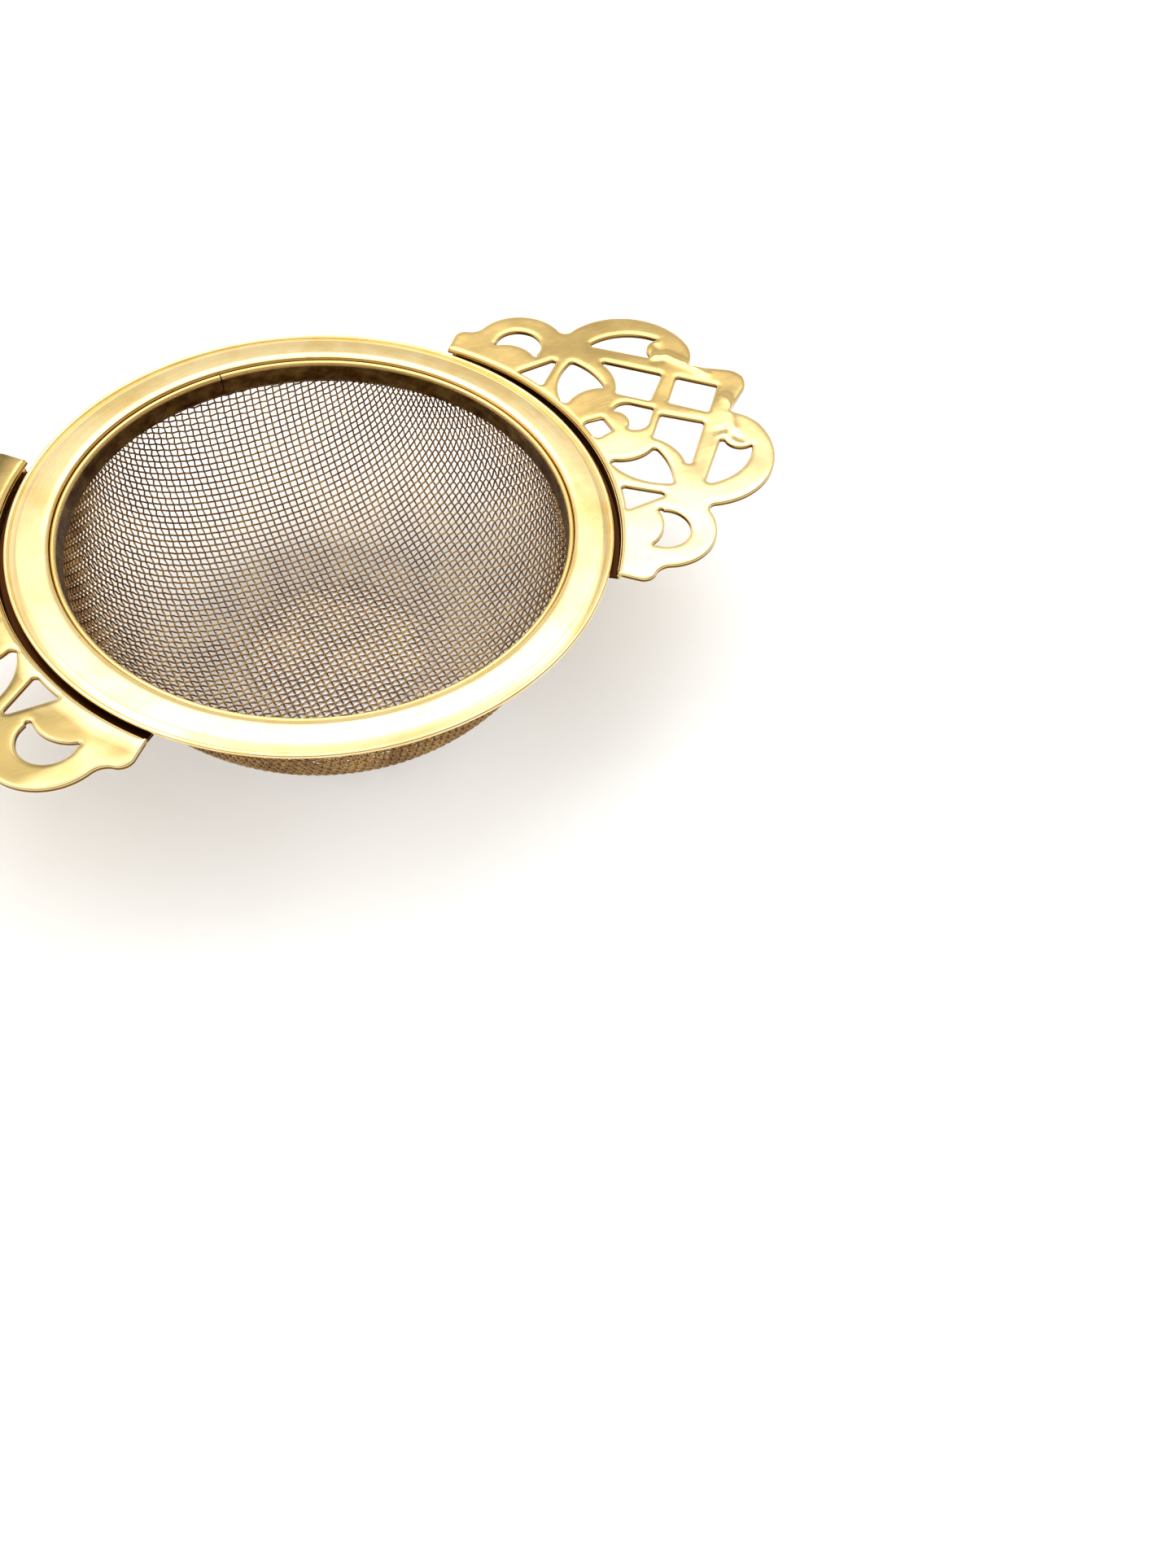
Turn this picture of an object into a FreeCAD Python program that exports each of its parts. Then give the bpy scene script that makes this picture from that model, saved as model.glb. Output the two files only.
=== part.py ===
import FreeCAD, Part
import math
import os

from FreeCAD import Vector as V

# Tea strainer: a pressed rim ring, a woven wire bowl clamped in it by an inner
# collar, and two pierced sheet handles fixed under the rim.
# Frame: origin on the axis at the underside of the flat bowl bottom, +Z up
# through the open mouth, X through both handle tips. Millimetres.

# ---- driving dimensions --------------------------------------------------
RIM_TOP = 22.0            # height of the rolled edge's crown above the bowl bottom
RIM_R = 32.0              # outer radius of the rim
RIM_SHEET = 0.5           # sheet thickness of the rim ring
ROLL_R = 0.28             # radius of the rolled outer edge
ROLL_START = 160.0        # where the roll begins and ends, degrees round its own centre
ROLL_END = -90.0
BAND_IN_R = 28.50         # where the level band meets its inner lip
BAND_FLAT_R = 30.60       # where the band stops being level
BAND_FALL_R = 31.05       # where it has begun to fall
BAND_FALL = 0.09          # how far it has fallen there
BAND_OUT_R = 31.46        # where the band ends in a fine groove before the roll
BAND_DROP = 0.24          # how far it has fallen at that groove
LIP_R = 2.10              # radius of the lip's wide bend
LIP_ANGLE = 17.0          # how far that wide bend turns, degrees, before the tight one
UNDER_BEND_R = 0.5        # bend radius under the lip, on the wall's outer side
RIM_WALL_R = 27.65        # inside radius of the rim ring's downturned wall
RIM_WALL_DEPTH = 3.6      # how far that wall reaches below the rim plane

MESH_T = 0.45             # thickness of the wire cloth, two wires deep
MESH_TOP_DEPTH = 1.10     # depth of the cloth's cut edge inside the clamp
MESH_TURN_R = 18.40       # outside radius of the bowl's round flank

COLLAR_TOP_R = 27.05      # inside radius of the collar just under its bead
COLLAR_FOOT_R = 26.80     # inside radius of its thicker, hemmed foot
COLLAR_DEPTH = 2.80       # how far the collar reaches below the rim plane
BEAD_R = 0.28             # radius of the collar's rolled top bead
BEAD_DEPTH = 0.70         # depth of the bead's centre below the rim plane
SEAM_ANGLE = 93.0         # direction of the collar's butt seam, degrees from +X
SEAM_GAP = 0.15           # open width of that seam

HANDLE_T = 0.6            # sheet thickness of the handles
HANDLE_IN_R = 32.75       # inside radius of the handle's turned-down edge
HANDLE_RISE = 3.4         # upward slope of the handle plate, degrees
HANDLE_HINGE_X = 25.6     # where the sloping plate's top crosses HANDLE_HINGE_Z
HANDLE_HINGE_Z = 0.08     # height of the plate's top there, from the rim plane
FOLD_R = 0.50             # outer bend radius of the turned-down edge
SHELF_TOP = 1.20          # depth of the shelf that runs under the rim
SHELF_IN_R = 29.20        # inside radius of that shelf between its tabs
CORNER_ANGLE = 39.8       # direction of the plate's two inner corners, degrees
SHELF_HALF = 38.6         # half angle the shelf spans, degrees
TAB_ANGLES = (-27.0, 0.0, 27.0)
TAB_HALF = 6.0            # half angle of one welding tab, degrees
TAB_DEPTH = 3.30          # depth of the tabs' lower ends
WELD_R = 0.60             # radius of a spot weld's dimple
WELD_DIP = 0.12           # depth of that dimple


def at(x, z):
    """Point of a section in the XZ half plane, z counted from the rim plane."""
    return V(x, 0, RIM_TOP + z)


def line(a, b):
    return Part.makeLine(a, b)


def arc(a, via, b):
    return Part.Arc(a, via, b).toShape()


def lathe(edges):
    """Turns a closed section of edges into a full solid of revolution."""
    face = Part.Face(Part.Wire(edges))
    return face.revolve(V(0, 0, 0), V(0, 0, 1), 360)


def on_circle(cx, cz, r, degrees):
    a = math.radians(degrees)
    return at(cx + r * math.cos(a), cz + r * math.sin(a))


def sector(r_in, r_out, z_low, z_high, middle, half):
    """Ring sector between two radii and two heights, centred on an angle."""
    ring = Part.makeCylinder(r_out, z_high - z_low, V(0, 0, z_low), V(0, 0, 1), 2 * half)
    core = Part.makeCylinder(r_in, z_high - z_low, V(0, 0, z_low))
    ring = ring.cut(core)
    ring.rotate(V(0, 0, 0), V(0, 0, 1), middle - half)
    return ring


# ---- rim ring ------------------------------------------------------------
def rim_ring():
    wall_out = RIM_WALL_R + RIM_SHEET
    roll_x = RIM_R - ROLL_R
    roll_start = on_circle(roll_x, -ROLL_R, ROLL_R, ROLL_START)
    roll_end = on_circle(roll_x, -ROLL_R, ROLL_R, ROLL_END)

    # The lip turns through a wide bend, then a tight one that ends on the wall.
    turn = math.radians(LIP_ANGLE)
    lip = on_circle(BAND_IN_R, -LIP_R, LIP_R, 90 + LIP_ANGLE)
    tight = (lip.x - RIM_WALL_R) / (1 - math.sin(turn))
    tight_x = RIM_WALL_R + tight
    tight_z = lip.z - RIM_TOP - tight * math.cos(turn)

    under_x = wall_out + UNDER_BEND_R
    under_z = -RIM_SHEET - UNDER_BEND_R
    edges = [
        line(at(RIM_WALL_R, -RIM_WALL_DEPTH), at(RIM_WALL_R, tight_z)),
        arc(at(RIM_WALL_R, tight_z),
            on_circle(tight_x, tight_z, tight, (180 + 90 + LIP_ANGLE) / 2), lip),
        arc(lip, on_circle(BAND_IN_R, -LIP_R, LIP_R, 90 + LIP_ANGLE / 2), at(BAND_IN_R, 0)),
        line(at(BAND_IN_R, 0), at(BAND_FLAT_R, 0)),
        arc(at(BAND_FLAT_R, 0), at(BAND_FALL_R, -BAND_FALL), at(BAND_OUT_R, -BAND_DROP)),
        line(at(BAND_OUT_R, -BAND_DROP), roll_start),
        arc(roll_start, on_circle(roll_x, -ROLL_R, ROLL_R, (ROLL_START + ROLL_END) / 2), roll_end),
        line(roll_end, at(BAND_OUT_R, -BAND_DROP - RIM_SHEET)),
        line(at(BAND_OUT_R, -BAND_DROP - RIM_SHEET), at(BAND_FLAT_R, -RIM_SHEET)),
        line(at(BAND_FLAT_R, -RIM_SHEET), at(under_x, -RIM_SHEET)),
        arc(at(under_x, -RIM_SHEET), on_circle(under_x, under_z, UNDER_BEND_R, 135),
            at(wall_out, under_z)),
        line(at(wall_out, under_z), at(wall_out, -RIM_WALL_DEPTH)),
        line(at(wall_out, -RIM_WALL_DEPTH), at(RIM_WALL_R, -RIM_WALL_DEPTH)),
    ]
    return lathe(edges)


# ---- inner collar --------------------------------------------------------
def inner_collar():
    out = RIM_WALL_R - MESH_T
    bead_x = COLLAR_TOP_R + BEAD_R
    low = -COLLAR_DEPTH
    tuck = -BEAD_DEPTH - math.sqrt(BEAD_R ** 2 - (out - bead_x) ** 2)
    edges = [
        line(at(COLLAR_FOOT_R, low), at(COLLAR_TOP_R, -BEAD_DEPTH)),
        arc(at(COLLAR_TOP_R, -BEAD_DEPTH),
            at(bead_x, BEAD_R - BEAD_DEPTH),
            at(bead_x + BEAD_R, -BEAD_DEPTH)),
        arc(at(bead_x + BEAD_R, -BEAD_DEPTH),
            on_circle(bead_x, -BEAD_DEPTH, BEAD_R, -45),
            at(out, tuck)),
        line(at(out, tuck), at(out, low)),
        line(at(out, low), at(COLLAR_FOOT_R, low)),
    ]
    seam = Part.makeBox(4.0, SEAM_GAP, 6.0, V(COLLAR_FOOT_R - 1, -SEAM_GAP / 2, RIM_TOP - 5))
    seam.rotate(V(0, 0, 0), V(0, 0, 1), SEAM_ANGLE)
    return lathe(edges).cut(seam)


# ---- woven wire bowl -----------------------------------------------------
def mesh_bowl():
    """The cloth as one closed skin of its true thickness, open at the top."""
    out = RIM_WALL_R
    inn = out - MESH_T
    turn_z = MESH_TURN_R - RIM_TOP
    turn_x = out - MESH_TURN_R
    small = MESH_TURN_R - MESH_T
    edges = [
        line(at(0, -RIM_TOP), at(turn_x, -RIM_TOP)),
        arc(at(turn_x, -RIM_TOP), on_circle(turn_x, turn_z, MESH_TURN_R, -45), at(out, turn_z)),
        line(at(out, turn_z), at(out, -MESH_TOP_DEPTH)),
        line(at(out, -MESH_TOP_DEPTH), at(inn, -MESH_TOP_DEPTH)),
        line(at(inn, -MESH_TOP_DEPTH), at(inn, turn_z)),
        arc(at(inn, turn_z), on_circle(turn_x, turn_z, small, -45), at(turn_x, MESH_T - RIM_TOP)),
        line(at(turn_x, MESH_T - RIM_TOP), at(0, MESH_T - RIM_TOP)),
        line(at(0, MESH_T - RIM_TOP), at(0, -RIM_TOP)),
    ]
    return lathe(edges)


# ---- handles -------------------------------------------------------------
def traced(path):
    """Edges along a path whose steps are a point, or (via, point) for an arc."""
    edges = []
    here = V(path[0][0], path[0][1], 0)
    for step in path[1:]:
        if isinstance(step[0], tuple):
            via = V(step[0][0], step[0][1], 0)
            there = V(step[1][0], step[1][1], 0)
            edges.append(arc(here, via, there))
        else:
            there = V(step[0], step[1], 0)
            edges.append(line(here, there))
        here = there
    return edges


def reflected(shape):
    """The mirror image across the handle's own axis, the X axis."""
    return shape.mirror(V(0, 0, 0), V(0, 1, 0))


def closed_wire(edges):
    return Part.Wire(Part.__sortEdges__(edges))


def handle_blank():
    """The plate's outer outline. Its root lies a little inside the turned edge."""
    root_r = HANDLE_IN_R - 0.2
    corner_a = math.radians(CORNER_ANGLE)
    corner = (root_r * math.cos(corner_a), root_r * math.sin(corner_a))
    half = traced([
        corner,
        (26.85, 22.70),
        ((27.95, 23.22), (29.00, 22.80)),
        ((29.90, 22.50), (30.90, 22.68)),
        ((37.37, 21.52), (39.02, 18.00)),
        ((39.30, 17.20), (40.10, 16.95)),
        ((49.42, 14.92), (51.95, 8.00)),
        ((51.35, 6.35), (50.20, 4.95)),
        ((50.05, 4.66), (50.30, 4.38)),
        (53.45, 2.17),
    ])
    tip = arc(V(53.45, 2.17, 0), V(54.85, 0, 0), V(53.45, -2.17, 0))
    root = arc(V(corner[0], corner[1], 0), V(root_r, 0, 0), V(corner[0], -corner[1], 0))
    return closed_wire(half + [reflected(e) for e in half] + [tip, root])


def side_holes():
    """The five pierced shapes that come as mirrored pairs, for the +y side."""
    small_crescent = [
        (31.00, 18.93), ((33.28, 17.30), (33.98, 15.10)),
        ((34.18, 14.78), (34.52, 15.14)), ((36.00, 17.60), (31.05, 19.40)),
        ((30.76, 19.14), (31.00, 18.93)),
    ]
    big_crescent = [
        (41.60, 13.95), ((45.90, 13.50), (49.02, 11.00)),
        ((49.14, 10.84), (48.95, 10.74)), ((47.34, 10.22), (46.76, 8.85)),
        ((46.50, 8.36), (46.10, 8.55)), (41.50, 13.05),
        ((41.26, 13.58), (41.60, 13.95)),
    ]
    triangle = [
        (31.30, 13.20), (35.45, 13.25), ((35.86, 12.93), (35.65, 12.52)),
        (32.75, 10.02), ((32.34, 9.84), (32.02, 10.20)),
        ((31.62, 11.42), (31.02, 12.85)), ((31.05, 13.12), (31.30, 13.20)),
    ]
    petal = [
        (37.90, 11.62), ((38.82, 9.20), (38.98, 6.50)),
        ((38.84, 6.10), (38.40, 6.04)), ((36.30, 6.46), (33.75, 5.64)),
        ((33.12, 5.78), (33.12, 6.45)), ((34.60, 9.68), (37.10, 11.72)),
        ((37.52, 11.86), (37.90, 11.62)),
    ]
    side_diamond = [
        (41.35, 9.97), (45.95, 5.25), ((46.14, 4.88), (45.95, 4.52)),
        (42.75, 1.56), ((42.45, 1.42), (42.15, 1.60)),
        (39.75, 4.10), ((39.62, 4.42), (39.75, 4.75)),
        ((40.80, 7.00), (40.75, 9.65)), ((40.96, 10.06), (41.35, 9.97)),
    ]
    return [small_crescent, big_crescent, triangle, petal, side_diamond]


def middle_holes():
    """The three shapes on the handle's own axis, drawn for +y and mirrored."""
    hexagon = [(33.42, 0.0), (33.42, 0.95), ((33.58, 1.34), (34.10, 1.55)),
               (35.55, 1.32), ((35.86, 1.20), (35.95, 0.90)), (35.95, 0.0)]
    heart = [(38.60, 0.0), ((38.47, 0.72), (38.02, 1.38)), ((37.73, 1.80), (38.00, 2.16)),
             ((39.30, 2.48), (40.50, 1.80)), (41.96, 0.30), ((42.10, 0.16), (42.14, 0.0))]
    diamond = [(44.36, 0.0), ((44.42, 0.16), (44.56, 0.32)), (47.35, 3.30),
               ((47.66, 3.46), (47.95, 3.30)), (50.86, 0.32), ((51.02, 0.16), (51.08, 0.0))]
    return [hexagon, heart, diamond]


def pierced_plate():
    """The flat handle sheet with all thirteen openings, top at z = 0."""
    wires = []
    for path in side_holes():
        wires.append(Part.Wire(traced(path)))
        wires.append(reflected(wires[-1]))
    for path in middle_holes():
        half = traced(path)
        wires.append(closed_wire(half + [reflected(e) for e in half]))
    plate = Part.Face(handle_blank()).extrude(V(0, 0, -HANDLE_T))
    for wire in wires:
        plate = plate.cut(Part.Face(wire).extrude(V(0, 0, -HANDLE_T)))
    return plate


def sloped(shape):
    """Leans a shape drawn at z = 0 up into the handle's sloping plane."""
    shape.rotate(V(HANDLE_HINGE_X, 0, 0), V(0, 1, 0), -HANDLE_RISE)
    shape.translate(V(0, 0, RIM_TOP + HANDLE_HINGE_Z))
    return shape


def handle_right():
    """Pierced plate, its turned-down inner edge, and the shelf under the rim."""
    shelf_top = RIM_TOP - SHELF_TOP
    shelf_low = shelf_top - HANDLE_T
    skirt_out = HANDLE_IN_R + HANDLE_T
    wall_out = RIM_WALL_R + RIM_SHEET
    end_y = HANDLE_IN_R * math.sin(math.radians(SHELF_HALF))
    between_ends = Part.makeBox(20, 2 * end_y, 10, V(20, -end_y, shelf_low))

    # The skirt stands on the shelf and is trimmed inside the sloping plate.
    skirt = sector(HANDLE_IN_R - 0.2, skirt_out, shelf_low, RIM_TOP + 2.0, 0.0, SHELF_HALF)
    skirt = skirt.cut(sloped(Part.makeBox(30, 60, 10, V(15, -30, -HANDLE_T / 2))))
    skirt = skirt.common(between_ends)
    body = sloped(pierced_plate()).fuse(skirt)
    core = Part.makeCylinder(HANDLE_IN_R, 10, V(0, 0, shelf_low))
    core.rotate(V(0, 0, 0), V(0, 0, 1), 180)
    body = body.cut(core)
    shelf = sector(SHELF_IN_R, skirt_out, shelf_low, shelf_top, 0.0, SHELF_HALF)
    body = body.fuse(shelf.common(between_ends))

    # Three tabs reach the rim ring's wall, each turned down and spot welded to it.
    spot_z = (shelf_low + RIM_TOP - TAB_DEPTH) / 2
    dimple_r = wall_out + HANDLE_T - WELD_DIP
    for angle in TAB_ANGLES:
        arm = sector(wall_out, SHELF_IN_R + 0.5, shelf_low, shelf_top, angle, TAB_HALF)
        tab = sector(wall_out, wall_out + HANDLE_T, RIM_TOP - TAB_DEPTH, shelf_top, angle, TAB_HALF)
        a = math.radians(angle)
        out = V(math.cos(a), math.sin(a), 0)
        spot = Part.makeCylinder(WELD_R, 2.0, V(0, 0, spot_z) + out * dimple_r, out)
        body = body.fuse([arm, tab.cut(spot)])
    body = body.removeSplitter()

    top_of_fold = [e for e in body.Edges if is_fold_edge(e)]
    return body.makeFillet(FOLD_R, top_of_fold)


def is_fold_edge(edge):
    """True for the long upper edge of the handle's turned-down inner wall."""
    on_wall = all(abs(math.hypot(v.X, v.Y) - HANDLE_IN_R) < 1e-3 for v in edge.Vertexes)
    high = edge.BoundBox.ZMin > RIM_TOP - HANDLE_T / 2
    return on_wall and high and edge.Length > HANDLE_IN_R


right = handle_right()
left = right.copy()
left.rotate(V(0, 0, 0), V(0, 0, 1), 180)
parts = {
    "rim_ring": rim_ring(),
    "inner_collar": inner_collar(),
    "mesh_bowl": mesh_bowl(),
    "handle_right": right,
    "handle_left": left,
}
os.makedirs("parts", exist_ok=True)
for name, shape in parts.items():
    shape.exportStep("parts/" + name + ".step")
    print(name, shape.isValid(), len(shape.Solids), round(shape.Volume, 1), shape.BoundBox)
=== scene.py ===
"""Looks of the tea strainer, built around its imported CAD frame. Metres throughout."""

import math

import bmesh
import bpy
import numpy as np
from mathutils import Matrix, Vector
from mathutils.geometry import delaunay_2d_cdt
from mathutils.kdtree import KDTree


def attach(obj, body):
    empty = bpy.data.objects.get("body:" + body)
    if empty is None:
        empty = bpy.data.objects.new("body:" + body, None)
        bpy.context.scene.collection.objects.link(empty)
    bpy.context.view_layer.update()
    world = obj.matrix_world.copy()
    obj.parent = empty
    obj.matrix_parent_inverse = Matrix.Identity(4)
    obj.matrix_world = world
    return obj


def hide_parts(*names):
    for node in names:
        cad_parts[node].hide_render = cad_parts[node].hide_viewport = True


MM = 0.001

# ---- dimensions shared with the CAD model, in millimetres and degrees ---------
RIM_TOP = 22.0            # height of the rim's level band
RIM_R = 32.0
RIM_SHEET = 0.5
ROLL_R = 0.28
ROLL_START = 160.0        # where the roll begins and ends, round its own centre
ROLL_END = -90.0
BAND_IN_R = 28.50
BAND_FLAT_R = 30.60       # the band is level up to here, then falls away
BAND_OUT_R = 31.46
BAND_DROP = 0.24
LIP_R = 2.10              # wide bend of the band's inner edge
LIP_ANGLE = 17.0          # how far that wide bend turns before the tight one
UNDER_BEND_R = 0.5        # bend from the band's underside into the wall
RIM_WALL_R = 27.65
RIM_WALL_DEPTH = 3.6
MESH_T = 0.45
MESH_TOP_DEPTH = 1.10
MESH_TURN_R = 18.40
COLLAR_TOP_R = 27.05
COLLAR_FOOT_R = 26.80
COLLAR_DEPTH = 2.80
BEAD_R = 0.28
BEAD_DEPTH = 0.70
SEAM_ANGLE = 93.0
SEAM_GAP = 0.15
HANDLE_T = 0.6
HANDLE_IN_R = 32.75
HANDLE_RISE = 3.4         # slope of the handles
HANDLE_HINGE_X = 25.6     # the plate's sloping top would pass here,
HANDLE_HINGE_Z = 0.08     # at this height over the rim plane
FOLD_R = 0.50
SHELF_TOP = 1.20
SHELF_IN_R = 29.20
CORNER_ANGLE = 39.8
SHELF_HALF = 38.6
TAB_ANGLES = (-27.0, 0.0, 27.0)
TAB_HALF = 6.0
TAB_DEPTH = 3.30
WELD_R = 0.60
WELD_DIP = 0.12

# ---- small shapes of the visible pieces, in millimetres ------------------------
BAND_CROWN = 0.012        # bulge of the level band, and of the falling strip outside it
STRIP_CROWN = 0.03
GROOVE_W = 0.14           # fine groove between the two, with sloping banks
GROOVE_BANK = 0.04
GROOVE_DEPTH = 0.035
GROOVE_OUT_DEPTH = 0.005  # depth of its outer edge
BEAD_NECK = 0.10          # how far below the bead's centre the collar's wall meets it
FOOT_CHAMFER = 0.06
SKIRT_FACE = 0.45         # how far below the plate the turned-down edge's outer face begins
SKIRT_GAP = 0.02          # gap between the plate's fold and the strip below it
SHELF_CHAMFER = 0.12
SHELF_BEND_OUT = 0.4      # bend between shelf and turned-down edge, outside and inside
SHELF_BEND_IN = 0.2
TAB_REACH = 0.50          # how far out under the shelf a tab begins
TAB_BEND_R = 0.55         # bend from the shelf into the tab, above and below
TAB_BEND_IN = 0.15
TAB_CHAMFER = 0.10

# ---- fineness of the meshes --------------------------------------------------
TURN_STEPS = 360          # steps round a turned piece
TURN_CREASE = 30.0        # shading splits where faces meet at more than this, in degrees
SHEET_CREASE = 38.0
SKIRT_STEPS = 120
TAB_STEPS = 48
WELD_ROWS = 16            # rows of points down a tab, for its dimple

# ---- wire cloth ------------------------------------------------------------
WIRE_D = 0.22             # wire diameter
PITCH_X = 0.90            # spacing of the wires that cross the X axis
PITCH_Y = 0.76            # spacing of the wires that cross the Y axis
WIRE_SIDES = 6
WIRE_STEPS = 4            # points along a wire from one crossing to the next
SPARE = 1.0               # height over the cloth's edge up to which crossings are found
SOLVE_STEPS = 12          # most steps in finding a crossing, and the step that ends it
SOLVED = 1e-7

# ---- floor, in metres --------------------------------------------------------
FLOOR_R = 3.0
FLOOR_SIDES = 96

# ---- camera ------------------------------------------------------------------
VIEW_AZIMUTH = -16.35     # degrees
VIEW_ELEVATION = 42.51
VIEW_DISTANCE = 133.9     # from the middle of the rim plane
VIEW_ROLL = 6.835
AIM_RIGHT = -0.2273       # where the rim's middle appears, as tangents off the lens axis
AIM_UP = 0.2268
LENS = 27.18              # with this sensor along the picture's long side
SENSOR = 36


# ============================ meshes =========================================
def new_object(name, verts, faces, material, smooth=True):
    mesh = bpy.data.meshes.new(name)
    mesh.from_pydata([tuple(v) for v in verts], [], [tuple(f) for f in faces])
    mesh.validate()
    mesh.update()
    if smooth:
        mesh.shade_smooth()
    obj = bpy.data.objects.new(name, mesh)
    bpy.context.scene.collection.objects.link(obj)
    obj.data.materials.append(material)
    return obj


def arc_points(cx, cz, r, start, end, count):
    """Points on a circle between two angles in degrees, both ends included."""
    angles = np.radians(np.linspace(start, end, count))
    return [(cx + r * math.cos(a), cz + r * math.sin(a)) for a in angles]


def bow(a, b, rise, count):
    """Points from a to b on a shallow bow that rises by that much in its middle."""
    points = []
    for t in np.linspace(0, 1, count):
        x = a[0] + (b[0] - a[0]) * t
        z = a[1] + (b[1] - a[1]) * t + 4 * rise * t * (1 - t)
        points.append((x, z))
    return points


def lathe(name, section, material, start=0.0, sweep=360.0):
    """Turns a closed section, listed as (radius, height from the rim plane) in mm."""
    full = sweep >= 360.0
    count = TURN_STEPS if full else TURN_STEPS + 1
    ring = len(section)
    verts = []
    for i in range(count):
        a = math.radians(start + sweep * i / TURN_STEPS)
        for r, z in section:
            verts.append((r * math.cos(a) * MM, r * math.sin(a) * MM, (RIM_TOP + z) * MM))
    faces = []
    for i in range(TURN_STEPS):
        j = (i + 1) % count
        for k in range(ring):
            m = (k + 1) % ring
            faces.append((i * ring + k, j * ring + k, j * ring + m, i * ring + m))
    if not full:
        faces.append(tuple(range(ring)))
        faces.append(tuple((count - 1) * ring + k for k in reversed(range(ring))))
    obj = new_object(name, verts, faces, material)
    tidy(obj, TURN_CREASE)
    return obj


def tidy(obj, crease):
    """Faces outwards, with shading split where faces meet at more than crease degrees."""
    bm = bmesh.new()
    bm.from_mesh(obj.data)
    bmesh.ops.recalc_face_normals(bm, faces=bm.faces)
    for edge in bm.edges:
        if len(edge.link_faces) == 2 and edge.calc_face_angle(0.0) > math.radians(crease):
            edge.smooth = False
    bm.to_mesh(obj.data)
    bm.free()


# ============================ rim and collar ==================================
def rim_ring(material):
    wall_out = RIM_WALL_R + RIM_SHEET
    roll_x = RIM_R - ROLL_R
    turn = math.radians(LIP_ANGLE)
    lip = (BAND_IN_R - LIP_R * math.sin(turn), -LIP_R * (1 - math.cos(turn)))
    tight = (lip[0] - RIM_WALL_R) / (1 - math.sin(turn))
    section = [(RIM_WALL_R, -RIM_WALL_DEPTH)]
    section += arc_points(RIM_WALL_R + tight, lip[1] - tight * math.cos(turn), tight,
                          180, 90 + LIP_ANGLE, 10)
    section += arc_points(BAND_IN_R, -LIP_R, LIP_R, 90 + LIP_ANGLE, 90, 9)[1:]
    section += bow((BAND_IN_R, 0), (BAND_FLAT_R, 0), BAND_CROWN, 9)[1:]
    section += [(BAND_FLAT_R + GROOVE_BANK, -GROOVE_DEPTH),
                (BAND_FLAT_R + GROOVE_W - GROOVE_BANK, -GROOVE_DEPTH)]
    section += bow((BAND_FLAT_R + GROOVE_W, -GROOVE_OUT_DEPTH), (BAND_OUT_R, -BAND_DROP),
                   STRIP_CROWN, 9)
    section += arc_points(roll_x, -ROLL_R, ROLL_R, ROLL_START, ROLL_END, 24)
    section += [(BAND_OUT_R, -BAND_DROP - RIM_SHEET), (BAND_FLAT_R, -RIM_SHEET)]
    section += arc_points(wall_out + UNDER_BEND_R, -RIM_SHEET - UNDER_BEND_R, UNDER_BEND_R,
                          90, 180, 6)
    section += [(wall_out, -RIM_WALL_DEPTH)]
    return lathe("rim_ring_band", section, material)


def inner_collar(material):
    out = RIM_WALL_R - MESH_T
    bead_x = COLLAR_TOP_R + BEAD_R
    foot = math.degrees(math.acos((out - bead_x) / BEAD_R))
    section = bow((COLLAR_FOOT_R, -COLLAR_DEPTH + FOOT_CHAMFER),
                  (COLLAR_TOP_R, -BEAD_DEPTH - BEAD_NECK), 0, 6)
    section += arc_points(bead_x, -BEAD_DEPTH, BEAD_R, 180, -foot, 22)
    section += [(out, -COLLAR_DEPTH), (COLLAR_FOOT_R + FOOT_CHAMFER, -COLLAR_DEPTH)]
    gap = math.degrees(SEAM_GAP / COLLAR_FOOT_R)
    return lathe("inner_collar_band", section, material, SEAM_ANGLE + gap / 2, 360 - gap)


# ============================ woven bowl ======================================
BOWL_R = RIM_WALL_R - MESH_T / 2            # middle of the cloth
FLANK_R = MESH_TURN_R - MESH_T / 2          # middle of the cloth round the flank
FLAT_R = RIM_WALL_R - MESH_TURN_R           # edge of the flat bottom
FLANK_Z = MESH_TURN_R                       # height of the flank's centre
CLOTH_TOP = RIM_TOP - MESH_TOP_DEPTH


def bowl_level(p):
    """Signed distance of p from the cloth's middle surface, and its gradient."""
    x, y, z = p
    r = math.hypot(x, y)
    if r < 1e-9:
        return FLANK_Z - z - FLANK_R, np.array([0.0, 0.0, -1.0])
    rx, ry = x / r, y / r
    if z >= FLANK_Z:
        return r - BOWL_R, np.array([rx, ry, 0.0])
    if r <= FLAT_R:
        return FLANK_Z - z - FLANK_R, np.array([0.0, 0.0, -1.0])
    a, b = r - FLAT_R, z - FLANK_Z
    d = math.hypot(a, b)
    return d - FLANK_R, np.array([rx * a / d, ry * a / d, b / d])


def meridian(s):
    """(radius, height) at arc length s from the middle of the bottom."""
    if s <= FLAT_R:
        return s, FLANK_Z - FLANK_R
    turn = (s - FLAT_R) / FLANK_R
    if turn <= math.pi / 2:
        return FLAT_R + FLANK_R * math.sin(turn), FLANK_Z - FLANK_R * math.cos(turn)
    return BOWL_R, FLANK_Z + s - FLAT_R - FLANK_R * math.pi / 2


def next_crossing(p, q, back, near, far):
    """The crossing that lies at those distances from its neighbours p and q."""
    x = p + q - back
    for unused in range(SOLVE_STEPS):
        level, slope = bowl_level(x)
        rows = np.array([2 * (x - p), 2 * (x - q), slope])
        miss = np.array([(x - p) @ (x - p) - near ** 2, (x - q) @ (x - q) - far ** 2, level])
        step = np.linalg.solve(rows, miss)
        x = x - step
        if np.abs(step).max() < SOLVED:
            break
    return x


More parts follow.
